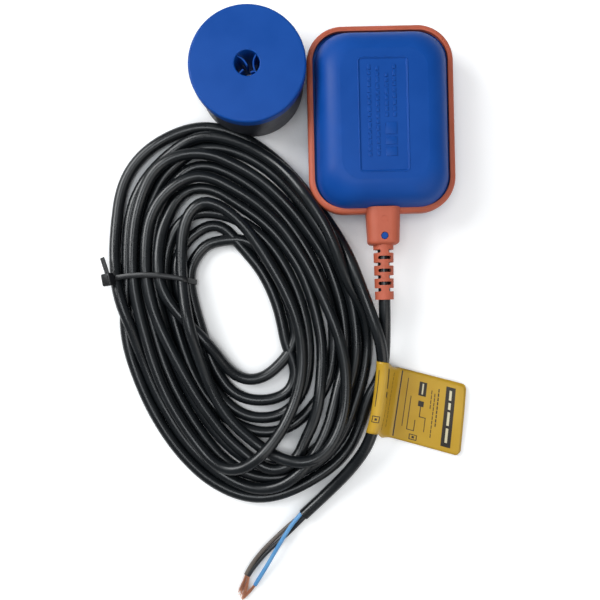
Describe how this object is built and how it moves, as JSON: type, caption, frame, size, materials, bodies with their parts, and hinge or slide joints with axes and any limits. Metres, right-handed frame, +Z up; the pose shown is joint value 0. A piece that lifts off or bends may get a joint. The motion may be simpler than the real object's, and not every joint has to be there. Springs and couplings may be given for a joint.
{
  "type": "cable float switch",
  "caption": "Cable float switch: a flat two-part float with a soft slotted cable boot, a round counterweight and a coil of three-core cable held by a tie",
  "frame": {"origin": "middle of the float's lower flat face, which lies on the floor", "axes": "+Z up from the floor, +Y along the float away from its cable, +X to the right seen from above"},
  "size_m": [0.2183, 0.3521, 0.0402],
  "materials": {
    "blue_plastic": "satin moulded polypropylene",
    "dark_plastic": "satin moulded, dark grey",
    "orange_rubber": "matte soft elastomer",
    "black_sheath": "satin cable sheath",
    "black_nylon": "smooth nylon",
    "yellow_film": "printed film, slightly glossy",
    "blue_insulation": "smooth wire insulation",
    "black_insulation": "smooth wire insulation",
    "brown_insulation": "smooth wire insulation",
    "bare_copper": "bright stranded copper",
    "inner_plastic": "natural moulded",
    "switch_plastic": "moulded phenolic",
    "button_plastic": "moulded",
    "zinc_steel": "zinc plated",
    "ball_steel": "ground bearing steel",
    "terminal_brass": "stamped",
    "cast_ballast": "cast, unpainted"
  },
  "bodies": {
    "housing": {"front_shell": "blue_plastic", "rear_shell": "blue_plastic", "seal_band": "orange_rubber", "float_cable_end": "black_sheath", "cable_clamp": "inner_plastic", "clamp_screws": "zinc_steel", "mechanism_carrier": "inner_plastic", "race_cover": "inner_plastic", "mechanism_screws": "zinc_steel", "microswitch_case": "switch_plastic", "microswitch_cover": "switch_plastic", "microswitch_screws": "zinc_steel", "common_terminal": "terminal_brass", "open_terminal": "terminal_brass", "closed_terminal": "terminal_brass", "lever_pin": "ball_steel", "counterweight_cap": "blue_plastic", "counterweight_body": "dark_plastic", "ballast_ring": "cast_ballast", "cable_lead": "black_sheath", "cable_coil": "black_sheath", "cable_tail": "black_sheath", "cable_tie": "black_nylon", "wiring_label": "yellow_film", "blue_core": "blue_insulation", "black_core": "black_insulation", "brown_core": "brown_insulation", "blue_strands": "bare_copper", "black_strands": "bare_copper", "brown_strands": "bare_copper", "inner_blue_lead": "blue_insulation", "inner_black_lead": "black_insulation", "inner_brown_lead": "brown_insulation"},
    "ball": {"steel_ball": "ball_steel"},
    "switch_lever": {"lever": "zinc_steel"},
    "button": {"switch_button": "button_plastic"},
    "blade": {"contact_blade": "terminal_brass"}
  },
  "joints": [
    {"name": "ball_roll", "type": "slide", "parent": "housing", "child": "ball", "axis": [0, 1, 0], "range_m": [-0.031, 0]},
    {"name": "lever_swing", "type": "hinge", "parent": "housing", "child": "switch_lever", "pos_m": [0.01, -0.0074, 0.02], "axis": [0, 0, 1], "range_deg": [0, 5], "stiffness_Nm_per_rad": 0.1},
    {"name": "button_travel", "type": "slide", "parent": "housing", "child": "button", "axis": [0, -1, 0], "range_m": [0, 0.000611]},
    {"name": "contact_blade_swing", "type": "hinge", "parent": "housing", "child": "blade", "pos_m": [0.0082, -0.0155, 0.02], "axis": [0, 0, 1], "range_deg": [0, 8.5]}
  ],
  "couplings": [
    {"joint": "button_travel", "follows": "lever_swing", "m_per_rad": 0.007},
    {"joint": "contact_blade_swing", "follows": "lever_swing", "ratio": 1.7}
  ]
}
